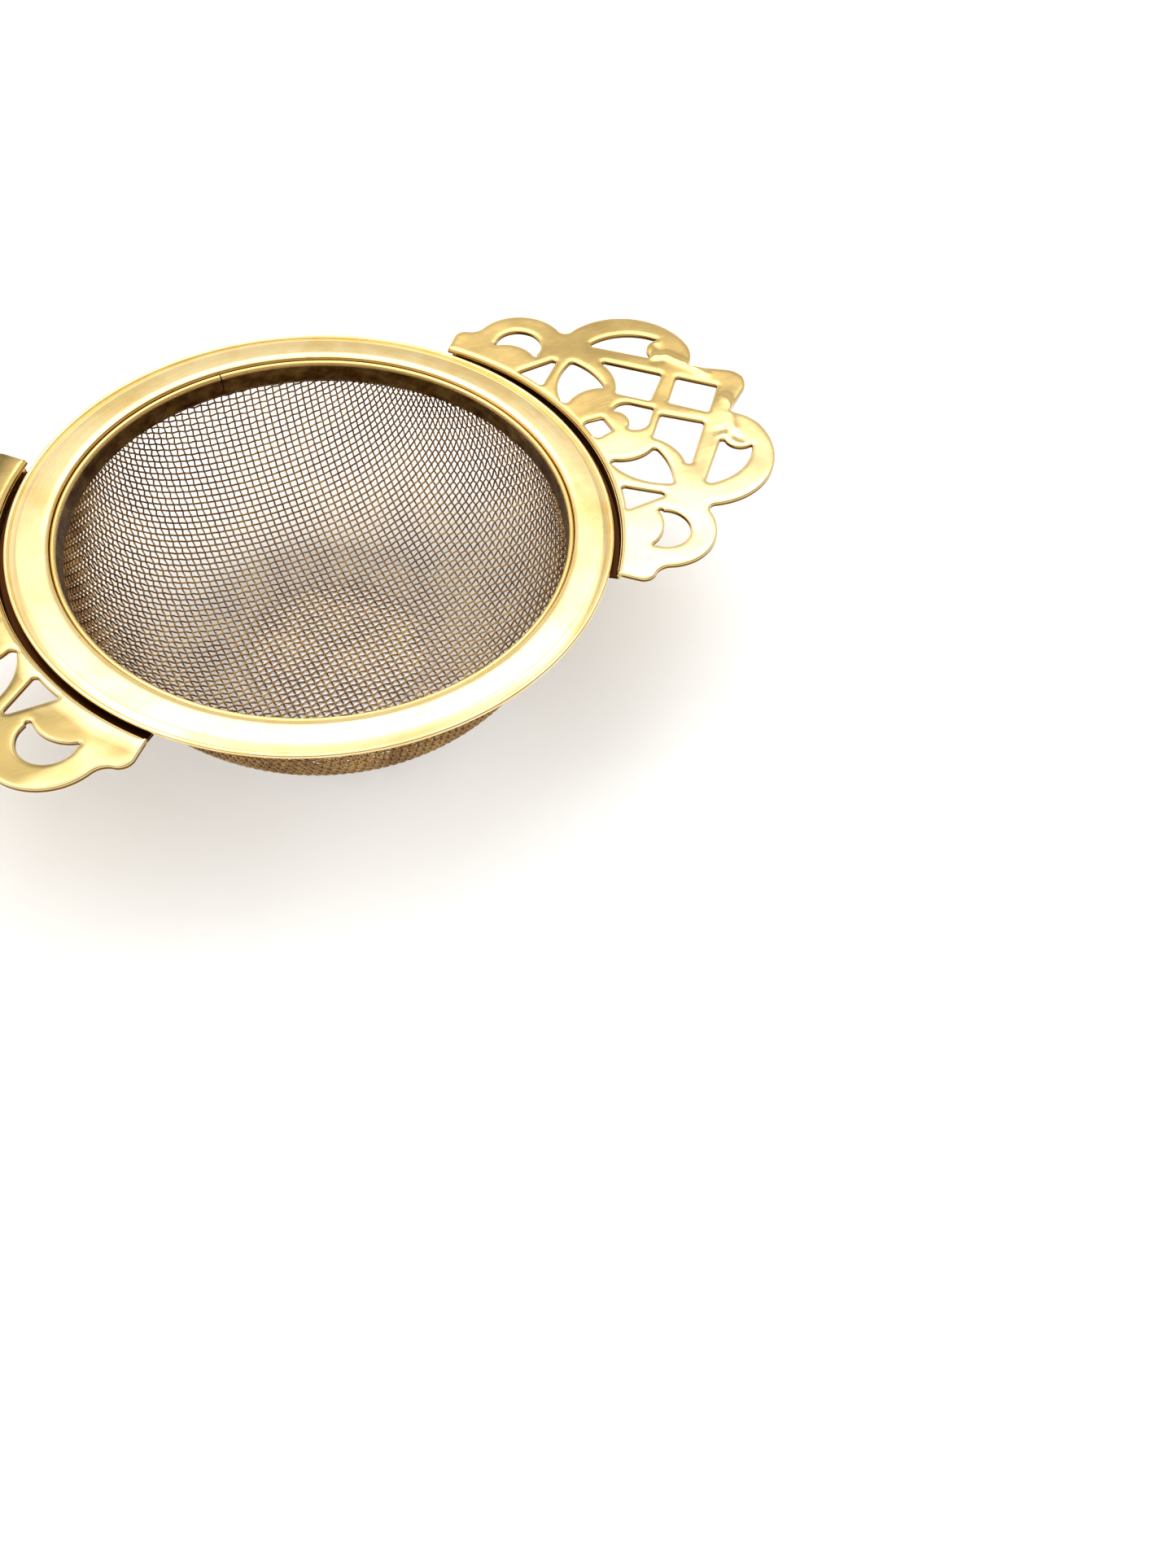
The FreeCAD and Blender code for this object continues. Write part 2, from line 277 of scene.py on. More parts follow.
def cloth_crossings():
    """Crossings of one quarter of a cloth whose wires keep their spacing as it bends."""
    length = FLAT_R + FLANK_R * math.pi / 2 + (CLOTH_TOP - FLANK_Z)
    # Two crossings more than fit, so that every wire reaches past the cloth's edge.
    count_i = int(length / PITCH_X) + 2
    count_j = int(length / PITCH_Y) + 2
    grid = {}
    for i in range(count_i + 1):
        r, z = meridian(i * PITCH_X)
        grid[i, 0] = np.array([r, 0.0, z])
    for j in range(count_j + 1):
        r, z = meridian(j * PITCH_Y)
        grid[0, j] = np.array([0.0, r, z])
    for i in range(1, count_i + 1):
        for j in range(1, count_j + 1):
            sides = (grid.get((i - 1, j)), grid.get((i, j - 1)), grid.get((i - 1, j - 1)))
            if any(s is None for s in sides):
                continue
            if min(sides[0][2], sides[1][2]) > CLOTH_TOP + SPARE:
                continue
            grid[i, j] = next_crossing(sides[0], sides[1], sides[2], PITCH_X, PITCH_Y)
    return grid


def wire_line(grid, fixed, along_x):
    """Crossings along one wire, from end to end, and the number of the first of them."""
    half = []
    k = 0
    while True:
        key = (k, abs(fixed)) if along_x else (abs(fixed), k)
        if key not in grid:
            break
        point = grid[key].copy()
        side = 1 if along_x else 0
        point[side] *= 1 if fixed >= 0 else -1
        half.append(point)
        if point[2] > CLOTH_TOP:
            break
        k += 1
    if len(half) < 2 or half[0][2] > CLOTH_TOP:
        return None
    flip = np.array([-1, 1, 1]) if along_x else np.array([1, -1, 1])
    points = [p * flip for p in reversed(half[1:])] + half
    first = -(len(half) - 1)
    return points, first


def waved(points, first, fixed, along_x):
    """The wire's centre line with its over-and-under wave, cut off at the cloth's top."""
    swing = WIRE_D / 2
    phase = 0 if along_x else 1
    base = np.array(points)
    count = len(base)
    line = []
    for k in range(count - 1):
        before = base[max(k - 1, 0)]
        after = base[min(k + 2, count - 1)]
        for n in range(WIRE_STEPS if k < count - 2 else WIRE_STEPS + 1):
            t = n / WIRE_STEPS
            p = smooth_between(before, base[k], base[k + 1], after, t)
            level, normal = bowl_level(p)
            wave = math.cos(math.pi * (first + k + t)) * (-1) ** (fixed + phase)
            line.append(p - normal * level + normal * swing * wave)
    line = np.array(line)
    inside = np.where(line[:, 2] <= CLOTH_TOP)[0]
    return line[inside[0]:inside[-1] + 1]


def smooth_between(a, b, c, d, t):
    """Catmull-Rom point between b and c."""
    return 0.5 * (2 * b + (c - a) * t + (2 * a - 5 * b + 4 * c - d) * t * t
                  + (3 * b - a - 3 * c + d) * t ** 3)


def add_tube(line, verts, faces):
    """A round wire along a line, with closed ends."""
    heading = np.gradient(line, axis=0)
    heading /= np.linalg.norm(heading, axis=1)[:, None]
    start = len(verts)
    for p, h in zip(line, heading):
        unused, normal = bowl_level(p)
        side = np.cross(h, normal)
        side /= np.linalg.norm(side)
        up = np.cross(side, h)
        for k in range(WIRE_SIDES):
            a = 2 * math.pi * k / WIRE_SIDES
            verts.append((p + WIRE_D / 2 * (math.cos(a) * side + math.sin(a) * up)) * MM)
    for m in range(len(line) - 1):
        for k in range(WIRE_SIDES):
            n = (k + 1) % WIRE_SIDES
            a, b = start + m * WIRE_SIDES, start + (m + 1) * WIRE_SIDES
            faces.append((a + k, a + n, b + n, b + k))
    faces.append(tuple(start + k for k in reversed(range(WIRE_SIDES))))
    last = start + (len(line) - 1) * WIRE_SIDES
    faces.append(tuple(last + k for k in range(WIRE_SIDES)))


def wire_cloth(material):
    """The woven bowl: two pieces for each direction of wire, of even and of odd wires."""
    grid = cloth_crossings()
    reach_i = max(i for i, j in grid)
    reach_j = max(j for i, j in grid)
    for along_x, reach in ((True, reach_j), (False, reach_i)):
        for part in range(2):
            verts, faces = [], []
            for fixed in range(-reach, reach + 1):
                if fixed % 2 != part:
                    continue
                found = wire_line(grid, fixed, along_x)
                if found:
                    line = waved(found[0], found[1], fixed, along_x)
                    if len(line) > 3:
                        add_tube(line, verts, faces)
            name = "mesh_wires_" + ("x" if along_x else "y") + ("_even" if part == 0 else "_odd")
            piece = new_object(name, verts, faces, material)
            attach(piece, "root")
            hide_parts("mesh_bowl")


# ============================ handles ==========================================
EDGE_R = 0.24             # rounding of the punched edges on the upper side
DROOP = 0.075             # how far the sheet sags towards a punched edge
DROOP_REACH = 0.75        # and how far from the edge that begins
SAMPLE = 0.16             # spacing of points along an outline
FILL = 0.48               # spacing of points over the plate
ROW_SHARE = 0.866         # and of their staggered rows, as a share of that
FILL_FROM_X = 24.0        # the area that is filled: from here, so long, so far to each side
FILL_LENGTH = 32.0
FILL_SIDE = 24.0
FILL_GAP = 0.15           # gap between the points along the edges and those over the plate
OWN_SHARE = 0.97          # a point is dropped if an edge is nearer than this share of its offset
MERGE = 1e-5              # points closer than this become one
BATCHES = 12              # points are tested in batches, to save memory
EDGE_RINGS = (0.0, 0.02, 0.06, 0.11, 0.17, 0.24, 0.33, 0.44, 0.58, 0.75)
FOLD_RINGS = (0.0, 0.03, 0.08, 0.16, 0.27, 0.39, 0.50, 0.62, 0.78)

# Half of the plate's outline, from its inner corner to its tip, on the +y side.
# A step is a point, or a pair (via, point) for an arc.
OUTLINE = [
    (26.85, 22.70),
    ((27.95, 23.22), (29.00, 22.80)),
    ((29.90, 22.50), (30.90, 22.68)),
    ((37.37, 21.52), (39.02, 18.00)),
    ((39.30, 17.20), (40.10, 16.95)),
    ((49.42, 14.92), (51.95, 8.00)),
    ((51.35, 6.35), (50.20, 4.95)),
    ((50.05, 4.66), (50.30, 4.38)),
    (53.45, 2.17),
    ((54.438, 1.20), (54.85, 0.0)),
]
SMALL_CRESCENT = [
    (31.00, 18.93), ((33.28, 17.30), (33.98, 15.10)),
    ((34.18, 14.78), (34.52, 15.14)), ((36.00, 17.60), (31.05, 19.40)),
    ((30.76, 19.14), (31.00, 18.93)),
]
BIG_CRESCENT = [
    (41.60, 13.95), ((45.90, 13.50), (49.02, 11.00)),
    ((49.14, 10.84), (48.95, 10.74)), ((47.34, 10.22), (46.76, 8.85)),
    ((46.50, 8.36), (46.10, 8.55)), (41.50, 13.05),
    ((41.26, 13.58), (41.60, 13.95)),
]
TRIANGLE = [
    (31.30, 13.20), (35.45, 13.25), ((35.86, 12.93), (35.65, 12.52)),
    (32.75, 10.02), ((32.34, 9.84), (32.02, 10.20)),
    ((31.62, 11.42), (31.02, 12.85)), ((31.05, 13.12), (31.30, 13.20)),
]
PETAL = [
    (37.90, 11.62), ((38.82, 9.20), (38.98, 6.50)),
    ((38.84, 6.10), (38.40, 6.04)), ((36.30, 6.46), (33.75, 5.64)),
    ((33.12, 5.78), (33.12, 6.45)), ((34.60, 9.68), (37.10, 11.72)),
    ((37.52, 11.86), (37.90, 11.62)),
]
SIDE_DIAMOND = [
    (41.35, 9.97), (45.95, 5.25), ((46.14, 4.88), (45.95, 4.52)),
    (42.75, 1.56), ((42.45, 1.42), (42.15, 1.60)),
    (39.75, 4.10), ((39.62, 4.42), (39.75, 4.75)),
    ((40.80, 7.00), (40.75, 9.65)), ((40.96, 10.06), (41.35, 9.97)),
]
HEXAGON = [(33.42, 0.0), (33.42, 0.95), ((33.58, 1.34), (34.10, 1.55)),
           (35.55, 1.32), ((35.86, 1.20), (35.95, 0.90)), (35.95, 0.0)]
HEART = [(38.60, 0.0), ((38.47, 0.72), (38.02, 1.38)), ((37.73, 1.80), (38.00, 2.16)),
         ((39.30, 2.48), (40.50, 1.80)), (41.96, 0.30), ((42.10, 0.16), (42.14, 0.0))]
DIAMOND = [(44.36, 0.0), ((44.42, 0.16), (44.56, 0.32)), (47.35, 3.30),
           ((47.66, 3.46), (47.95, 3.30)), (50.86, 0.32), ((51.02, 0.16), (51.08, 0.0))]

DOME_RISE = 0.13          # low dome near the root: height, centre, spread
DOME_X = 36.2
DOME_SPREAD = (2.6, 3.6)

# Raised and sunk lines of the stamping: path, height, half width.
RELIEF = [
    ([(47.3, 8.0), (48.5, 7.6), (49.1, 6.3), (49.8, 5.1), (50.5, 3.8), (50.9, 2.4)], 0.14, 0.50),
    ([(46.6, 7.2), (47.3, 7.1), (48.0, 8.2), (48.4, 9.6)], -0.08, 0.38),
]


def arc_steps(a, via, b):
    """Points on the arc from a through via to b, without a itself."""
    squares = [p[0] ** 2 + p[1] ** 2 for p in (a, via, b)]
    d = 2 * (a[0] * (via[1] - b[1]) + via[0] * (b[1] - a[1]) + b[0] * (a[1] - via[1]))
    cx = (squares[0] * (via[1] - b[1]) + squares[1] * (b[1] - a[1])
          + squares[2] * (a[1] - via[1])) / d
    cy = (squares[0] * (b[0] - via[0]) + squares[1] * (a[0] - b[0])
          + squares[2] * (via[0] - a[0])) / d
    r = math.hypot(a[0] - cx, a[1] - cy)
    start = math.atan2(a[1] - cy, a[0] - cx)
    middle = (math.atan2(via[1] - cy, via[0] - cx) - start) % (2 * math.pi)
    sweep = (math.atan2(b[1] - cy, b[0] - cx) - start) % (2 * math.pi)
    if middle > sweep:
        sweep -= 2 * math.pi
    count = max(2, math.ceil(abs(sweep) * r / SAMPLE))
    turns = [start + sweep * k / count for k in range(1, count + 1)]
    return [(cx + r * math.cos(t), cy + r * math.sin(t)) for t in turns]


def line_steps(a, b):
    count = max(1, math.ceil(math.dist(a, b) / SAMPLE))
    return [(a[0] + (b[0] - a[0]) * k / count, a[1] + (b[1] - a[1]) * k / count)
            for k in range(1, count + 1)]


def traced(path):
    """Closely spaced points along a path of points and arcs, its first point included."""
    points = [path[0]]
    for step in path[1:]:
        if isinstance(step[0], tuple):
            points += arc_steps(points[-1], step[0], step[1])
        else:
            points += line_steps(points[-1], step)
    return points


def with_mirror(half):
    """A whole loop from its +y half, whose two ends lie on the X axis."""
    return half + [(x, -y) for x, y in reversed(half[1:-1])]


def handle_loops():
    """The plate's outline without its root, the root's arc, and the thirteen holes."""
    lean = math.cos(math.radians(HANDLE_RISE))
    root = []
    count = round(2 * math.radians(CORNER_ANGLE) * HANDLE_IN_R / SAMPLE)
    for k in range(count + 1):
        a = math.radians(CORNER_ANGLE) * (2 * k / count - 1)
        x = HANDLE_HINGE_X + (HANDLE_IN_R * math.cos(a) - HANDLE_HINGE_X) / lean
        root.append((x, HANDLE_IN_R * math.sin(a)))
    half = traced([root[-1]] + OUTLINE)
    outline = half + [(x, -y) for x, y in reversed(half[:-1])]
    holes = []
    for path in (SMALL_CRESCENT, BIG_CRESCENT, TRIANGLE, PETAL, SIDE_DIAMOND):
        loop = traced(path)[:-1]
        holes += [loop, [(x, -y) for x, y in loop]]
    for path in (HEXAGON, HEART, DIAMOND):
        holes.append(with_mirror(traced(path)))
    return outline[1:-1], root, holes


def inset(loop, offset):
    """The loop's points moved sideways by offset, to the left of their direction."""
    points = np.array(loop)
    along = np.roll(points, -1, axis=0) - np.roll(points, 1, axis=0)
    along /= np.linalg.norm(along, axis=1)[:, None]
    return points + offset * np.stack([-along[:, 1], along[:, 0]], axis=1)


def turned_left(loop):
    """True if the loop runs anticlockwise."""
    p = np.array(loop)
    q = np.roll(p, -1, axis=0)
    return (p[:, 0] * q[:, 1] - q[:, 0] * p[:, 1]).sum() > 0


def within(points, loops):
    """For each point, whether it lies in the sheet: inside an odd number of loops."""
    points = np.array([tuple(p) for p in points])
    odd = np.zeros(len(points), bool)
    for loop in loops:
        a = np.array(loop)
        b = np.roll(a, -1, axis=0)
        boxed = ((points >= a.min(0)) & (points <= a.max(0))).all(axis=1)
        for chosen in np.array_split(np.flatnonzero(boxed), BATCHES):
            x, y = points[chosen, 0][:, None], points[chosen, 1][:, None]
            spans = (a[:, 1] > y) != (b[:, 1] > y)
            rise = np.where(a[:, 1] == b[:, 1], 1.0, b[:, 1] - a[:, 1])
            meets = a[:, 0] + (y - a[:, 1]) * (b[:, 0] - a[:, 0]) / rise
            odd[chosen] ^= (spans & (x < meets)).sum(axis=1) % 2 == 1
    return odd


def rounding(distance, radius):
    """How far a rounded edge lies below the sheet's face at that distance from it."""
    reach = max(radius - distance, 0.0)
    return radius - math.sqrt(radius ** 2 - reach ** 2)


def droop(distance):
    """The gentle sag of the sheet towards a punched edge."""
    return DROOP * max(1 - distance / DROOP_REACH, 0.0) ** 2


def relief(x, y):
    """Height of the stamping's dome and lines at a point of the plate."""
    y = abs(y)
    height = DOME_RISE * math.exp(-((x - DOME_X) / DOME_SPREAD[0]) ** 2
                                  - (y / DOME_SPREAD[1]) ** 2)
    for path, rise, width in RELIEF:
        near = min(segment_distance((x, y), a, b) for a, b in zip(path, path[1:]))
        height += rise * math.exp(-(near / width) ** 2)
    return height


def segment_distance(p, a, b):
    dx, dy = b[0] - a[0], b[1] - a[1]
    t = ((p[0] - a[0]) * dx + (p[1] - a[1]) * dy) / (dx * dx + dy * dy)
    t = min(max(t, 0.0), 1.0)
    return math.hypot(p[0] - a[0] - t * dx, p[1] - a[1] - t * dy)


def leaned(x, y, z):
    """A point of the flat plate, moved into the handle's sloping plane."""
    a = math.radians(HANDLE_RISE)
    dx = x - HANDLE_HINGE_X
    return (HANDLE_HINGE_X + dx * math.cos(a) - z * math.sin(a), y,
            RIM_TOP + HANDLE_HINGE_Z + dx * math.sin(a) + z * math.cos(a))


def plate_shell():
    """Vertices in mm and faces of the pierced sheet, with rounded upper edges."""
    outline, root, holes = handle_loops()
    outer = outline + root
    if not turned_left(outer):
        outer = outer[::-1]
    at_root = set(root)
    loops = [outer] + [h[::-1] if turned_left(h) else h for h in holes]

    points, drops, edges = [], [], []
    tree = KDTree(sum(len(loop) for loop in loops))
    for loop in loops:
        first = len(points)
        for k, p in enumerate(loop):
            tree.insert((p[0], p[1], 0), first + k)
            points.append(p)
            drops.append((FOLD_R if p in at_root else EDGE_R) + DROOP)
            edges.append((first + k, first + (k + 1) % len(loop)))
    tree.balance()

    for level in range(1, len(EDGE_RINGS)):
        for loop in loops:
            for rings, radius, chosen in ((EDGE_RINGS, EDGE_R, False), (FOLD_RINGS, FOLD_R, True)):
                if level >= len(rings):
                    continue
                moved = inset(loop, rings[level])
                for p, m in zip(loop, moved):
                    if (p in at_root) != chosen:
                        continue
                    if tree.find((m[0], m[1], 0))[2] < OWN_SHARE * rings[level]:
                        continue
                    points.append((m[0], m[1]))
                    drops.append(rounding(rings[level], radius) + droop(rings[level]))
    rows = math.ceil(FILL_SIDE / (FILL * ROW_SHARE))
    spread = []
    for row in range(-rows, rows + 1):
        for column in range(round(FILL_LENGTH / FILL)):
            x = FILL_FROM_X + (column + 0.5 * (row % 2)) * FILL
            y = row * FILL * ROW_SHARE
            if tree.find((x, y, 0))[2] > DROOP_REACH + FILL_GAP:
                spread.append((x, y))
    spread = [p for p, kept in zip(spread, within(spread, loops)) if kept]
    points += spread
    drops += [0.0] * len(spread)

    coords = [Vector(p) for p in points]
    found, unused_edges, faces, sources, *unused = delaunay_2d_cdt(coords, edges, [], 1, MERGE)
    middles = [sum((found[k] for k in f), Vector((0, 0))) / len(f) for f in faces]
    faces = [f for f, kept in zip(faces, within(middles, loops)) if kept]
    verts = []
    for v, source in zip(found, sources):
        drop = drops[source[0]] if source else 0.0
        verts.append((v[0], v[1], drop))
    index = {}
    for k, source in enumerate(sources):
        for s in source:
            index[s] = k
    swell = [relief(x, y) for x, y, unused_drop in verts]
    top = [leaned(x, y, s - d) for (x, y, d), s in zip(verts, swell)]
    under = [leaned(x, y, s - HANDLE_T) for (x, y, unused_d), s in zip(verts, swell)]
    count = len(verts)
    shell = [tuple(f) for f in faces] + [tuple(k + count for k in reversed(f)) for f in faces]
    shell += [(index[b], index[a], index[a] + count, index[b] + count) for a, b in edges]
    return top + under, shell


def end_angle(r):
    """Where the shelf and the turned-down edge end at a radius, in radians."""
    half = math.radians(SHELF_HALF)
    return min(half, math.asin(HANDLE_IN_R * math.sin(half) / r))


def skirt_shell():
    """The turned-down edge and the shelf that it stands on, as one bent strip."""
    shelf_low = -SHELF_TOP - HANDLE_T
    out = HANDLE_IN_R + HANDLE_T
    slope = math.tan(math.radians(HANDLE_RISE))
    rings = []
    for k in range(SKIRT_STEPS + 1):
        t = 2 * k / SKIRT_STEPS - 1
        x = HANDLE_IN_R * math.cos(t * math.radians(SHELF_HALF))
        face = HANDLE_HINGE_Z + slope * (x - HANDLE_HINGE_X)
        section = [(SHELF_IN_R, -SHELF_TOP - SHELF_CHAMFER), (SHELF_IN_R, shelf_low)]
        section += arc_points(out - SHELF_BEND_OUT, shelf_low + SHELF_BEND_OUT,
                              SHELF_BEND_OUT, -90, 0, 6)
        section += [(out, face - SKIRT_FACE), (HANDLE_IN_R, face - FOLD_R - SKIRT_GAP)]
        section += arc_points(HANDLE_IN_R - SHELF_BEND_IN, -SHELF_TOP + SHELF_BEND_IN,
                              SHELF_BEND_IN, 0, -90, 5)
        section += [(SHELF_IN_R + SHELF_CHAMFER, -SHELF_TOP)]
        ring = []
        for r, z in section:
            a = t * end_angle(r)
            ring.append((r * math.cos(a), r * math.sin(a), RIM_TOP + z))
        rings.append(ring)
    return joined_rings(rings)


def tab_shell(middle):
    """One tab: it leaves the shelf, turns down and is spot welded to the rim's wall."""
    wall = RIM_WALL_R + RIM_SHEET
    out = wall + HANDLE_T
    shelf_low = -SHELF_TOP - HANDLE_T
    flat = TAB_DEPTH + shelf_low - (TAB_CHAMFER + TAB_BEND_IN)
    spot = (shelf_low - TAB_DEPTH) / 2
    rings = []
    for k in range(TAB_STEPS + 1):
        a = math.radians(middle + TAB_HALF * (2 * k / TAB_STEPS - 1))
        side = (a - math.radians(middle)) * out
        section = [(SHELF_IN_R + TAB_REACH, -SHELF_TOP), (wall + TAB_BEND_R, -SHELF_TOP)]
        section += arc_points(wall + TAB_BEND_R, -SHELF_TOP - TAB_BEND_R, TAB_BEND_R,
                              90, 180, 7)[1:]
        section += [(wall, -TAB_DEPTH + TAB_CHAMFER), (wall + TAB_CHAMFER, -TAB_DEPTH),
                    (out - TAB_CHAMFER, -TAB_DEPTH)]
        for row in range(WELD_ROWS + 1):
            z = -TAB_DEPTH + TAB_CHAMFER + flat * row / WELD_ROWS
            reach = min(math.hypot(side, z - spot) / WELD_R, 1.0)
            section.append((out - WELD_DIP * (1 - reach ** 4), z))
        section += arc_points(out + TAB_BEND_IN, shelf_low - TAB_BEND_IN, TAB_BEND_IN,
                              180, 90, 4)
        section += [(SHELF_IN_R + TAB_REACH, shelf_low)]
        rings.append([(r * math.cos(a), r * math.sin(a), RIM_TOP + z) for r, z in section])
    return joined_rings(rings)


def joined_rings(rings):
    """Vertices and faces of a closed strip through equal sections, capped at its ends."""
    size = len(rings[0])
    verts = [p for ring in rings for p in ring]
    faces = []
    for i in range(len(rings) - 1):
        for k in range(size):
            m = (k + 1) % size
            faces.append((i * size + k, (i + 1) * size + k, (i + 1) * size + m, i * size + m))
    faces.append(tuple(range(size)))
    faces.append(tuple((len(rings) - 1) * size + k for k in reversed(range(size))))
    return verts, faces


def handles(material):
    """Both handles: the pierced plate, its turned edge and shelf, and three tabs."""
    shells = [plate_shell(), skirt_shell()]
    shells += [tab_shell(angle) for angle in TAB_ANGLES]
    verts, faces = [], []
    for shell_verts, shell_faces in shells:
        start = len(verts)
        verts += shell_verts
        faces += [tuple(k + start for k in f) for f in shell_faces]
    for side, node in ((1, "handle_right"), (-1, "handle_left")):
        placed = [(side * x * MM, side * y * MM, z * MM) for x, y, z in verts]
        obj = new_object(node + "_sheet", placed, faces, material)
        tidy(obj, SHEET_CREASE)
        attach(obj, "root")
        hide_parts(node)


# ============================ materials =======================================
class Shader:
    """A material's nodes, added one by one. An input is a value or another node's output."""

    def __init__(self, name):
        self.material = bpy.data.materials.new(name)
        self.material.use_nodes = True
        self.tree = self.material.node_tree
        self.surface = self.tree.nodes["Principled BSDF"]
        self.place = self.add("ShaderNodeTexCoord").outputs["Object"]
        self.relief = None

    def add(self, kind, inputs=None, **settings):
        node = self.tree.nodes.new(kind)
        for key, value in settings.items():
            setattr(node, key, value)
        for key, value in (inputs or {}).items():
            self.feed(node.inputs[key], value)
        return node

    def feed(self, socket, value):
        if isinstance(value, bpy.types.NodeSocket):
            self.tree.links.new(value, socket)
        else:
            socket.default_value = value

    def math(self, operation, a, b=0.0):
        return self.add("ShaderNodeMath", {0: a, 1: b}, operation=operation).outputs[0]

    def noise(self, scale, detail, rough, vector=None):
        return self.add("ShaderNodeTexNoise", {
            "Vector": self.place if vector is None else vector, "Scale": scale,
            "Detail": detail, "Roughness": rough,
        }).outputs["Fac"]

    def span(self, value, low, high, to_low, to_high):
        """Maps low..high of a value to to_low..to_high, and holds it at the ends."""
        return self.add("ShaderNodeMapRange", {
            "Value": value, "From Min": low, "From Max": high,
            "To Min": to_low, "To Max": to_high,
        }).outputs["Result"]

    def span_mm(self, value, low, high, to_low, to_high):
        """The same for a place on the object, with low and high in mm."""
        return self.span(value, low * MM, high * MM, to_low, to_high)

    def blend(self, factor, a, b):
        node = self.add("ShaderNodeMix", data_type="RGBA")
        self.feed(node.inputs["Factor"], factor)
        self.feed(node.inputs["A"], a)
        self.feed(node.inputs["B"], b)
        return node.outputs["Result"]

    def axes(self):
        return self.add("ShaderNodeSeparateXYZ", {"Vector": self.place}).outputs

    def radius(self):
        """Distance from the Z axis, in metres."""
        parts = self.axes()
        squares = self.math("ADD", self.math("POWER", parts["X"], 2.0),
                            self.math("POWER", parts["Y"], 2.0))
        return self.math("SQRT", squares)

    def polar(self, across, along):
        """A vector of (radius * across, angle * along, height * across) round the Z axis."""
        parts = self.axes()
        angle = self.math("ARCTAN2", parts["Y"], parts["X"])
        return self.add("ShaderNodeCombineXYZ", {
            "X": self.math("MULTIPLY", self.radius(), across),
            "Y": self.math("MULTIPLY", angle, along),
            "Z": self.math("MULTIPLY", parts["Z"], across),
        }).outputs[0]

    def bump(self, height, strength, distance):
        """Adds a layer of relief over the layers before it."""
        node = self.add("ShaderNodeBump", {"Height": height, "Strength": strength,
                                           "Distance": distance})
        if self.relief is not None:
            self.feed(node.inputs["Normal"], self.relief)
        self.relief = node.outputs["Normal"]
        self.feed(self.surface.inputs["Normal"], self.relief)

    def finish(self, color, roughness):
        self.surface.inputs["Metallic"].default_value = 1.0
        self.feed(self.surface.inputs["Base Color"], color)
        self.feed(self.surface.inputs["Roughness"], roughness)
        return self.material


# ---- colours of the metal, its stains, painted shade and reflection, and the floor ---
GOLD = (0.83, 0.585, 0.22, 1)
GOLD_PALE = (0.90, 0.70, 0.35, 1)
GOLD_DEEP = (0.62, 0.37, 0.10, 1)
GOLD_SATIN = (0.71, 0.495, 0.175, 1)
# The next four colours are for painted shade and painted dark reflection.
PAINTED_DARK_BRONZE = (0.13, 0.060, 0.016, 1)
PAINTED_DARK_UMBER = (0.050, 0.016, 0.003, 1)
PAINTED_DARK_OLIVE = (0.19, 0.135, 0.040, 1)
PAINTED_REFLECTION_BROWN = (0.13, 0.075, 0.018, 1)
WIRE_GOLD = (0.45, 0.28, 0.10, 1)
WIRE_BROWN = (0.20, 0.10, 0.034, 1)
WIRE_DARK = (0.12, 0.055, 0.02, 1)
FLOOR_TONES = ((0.86, 0.855, 0.85, 1), (0.90, 0.895, 0.89, 1))


def rim_finish():
    """Spun and plated: fine turning marks round the ring, soft stains, and painted shade in the
    nooks.

    The lip over the bead carries a painted dark reflection, stronger towards +Y, and the ring
    below the band carries painted shade all round.
    """
    s = Shader("gilt_rim")
    turning = s.noise(1.0, 3.0, 0.6, s.polar(9000.0, 3.0))
    cloud = s.noise(160.0, 4.0, 0.55)
    spots = s.span(s.noise(900.0, 3.0, 0.6), 0.66, 0.74, 0.0, 1.0)
    color = s.blend(s.span(cloud, 0.30, 0.58, 0.0, 1.0), GOLD, GOLD_PALE)
    color = s.blend(s.math("MULTIPLY", spots, 0.35), color, GOLD_DEEP)
    parts = s.axes()
    height = parts["Z"]
    # Painted dark reflection: a brown band on the lip's lower wall over the bead, strongest
    # towards +Y.
    lip = s.math("MULTIPLY", s.span_mm(height, RIM_TOP - 0.24, RIM_TOP - 0.16, 0.5, 0.0),
                 s.span_mm(s.radius(), BAND_IN_R - 0.5, BAND_IN_R - 0.3, 1.0, 0.0))
    lip = s.math("MULTIPLY", lip, s.span_mm(parts["Y"], 8, 20, 0.1, 1.0))
    # Painted shade: the ring below the band is darkened all round, where the gap under it lies.
    below = s.span_mm(height, RIM_TOP - 1.0, RIM_TOP - 0.75, 0.85, 0.0)
    # The painted dark reflection and the painted shade together.
    nook_shade = s.math("MAXIMUM", lip, below)
    color = s.blend(nook_shade, color, PAINTED_DARK_BRONZE)
    rough = s.math("ADD", s.span(turning, 0.3, 0.7, 0.12, 0.20), s.math("MULTIPLY", cloud, 0.08))
    s.bump(turning, 0.12, 0.00002)
    s.bump(s.noise(350.0, 2.0, 0.5), 0.10, 0.0001)
    return s.finish(color, s.math("ADD", rough, s.math("MULTIPLY", nook_shade, 0.15)))


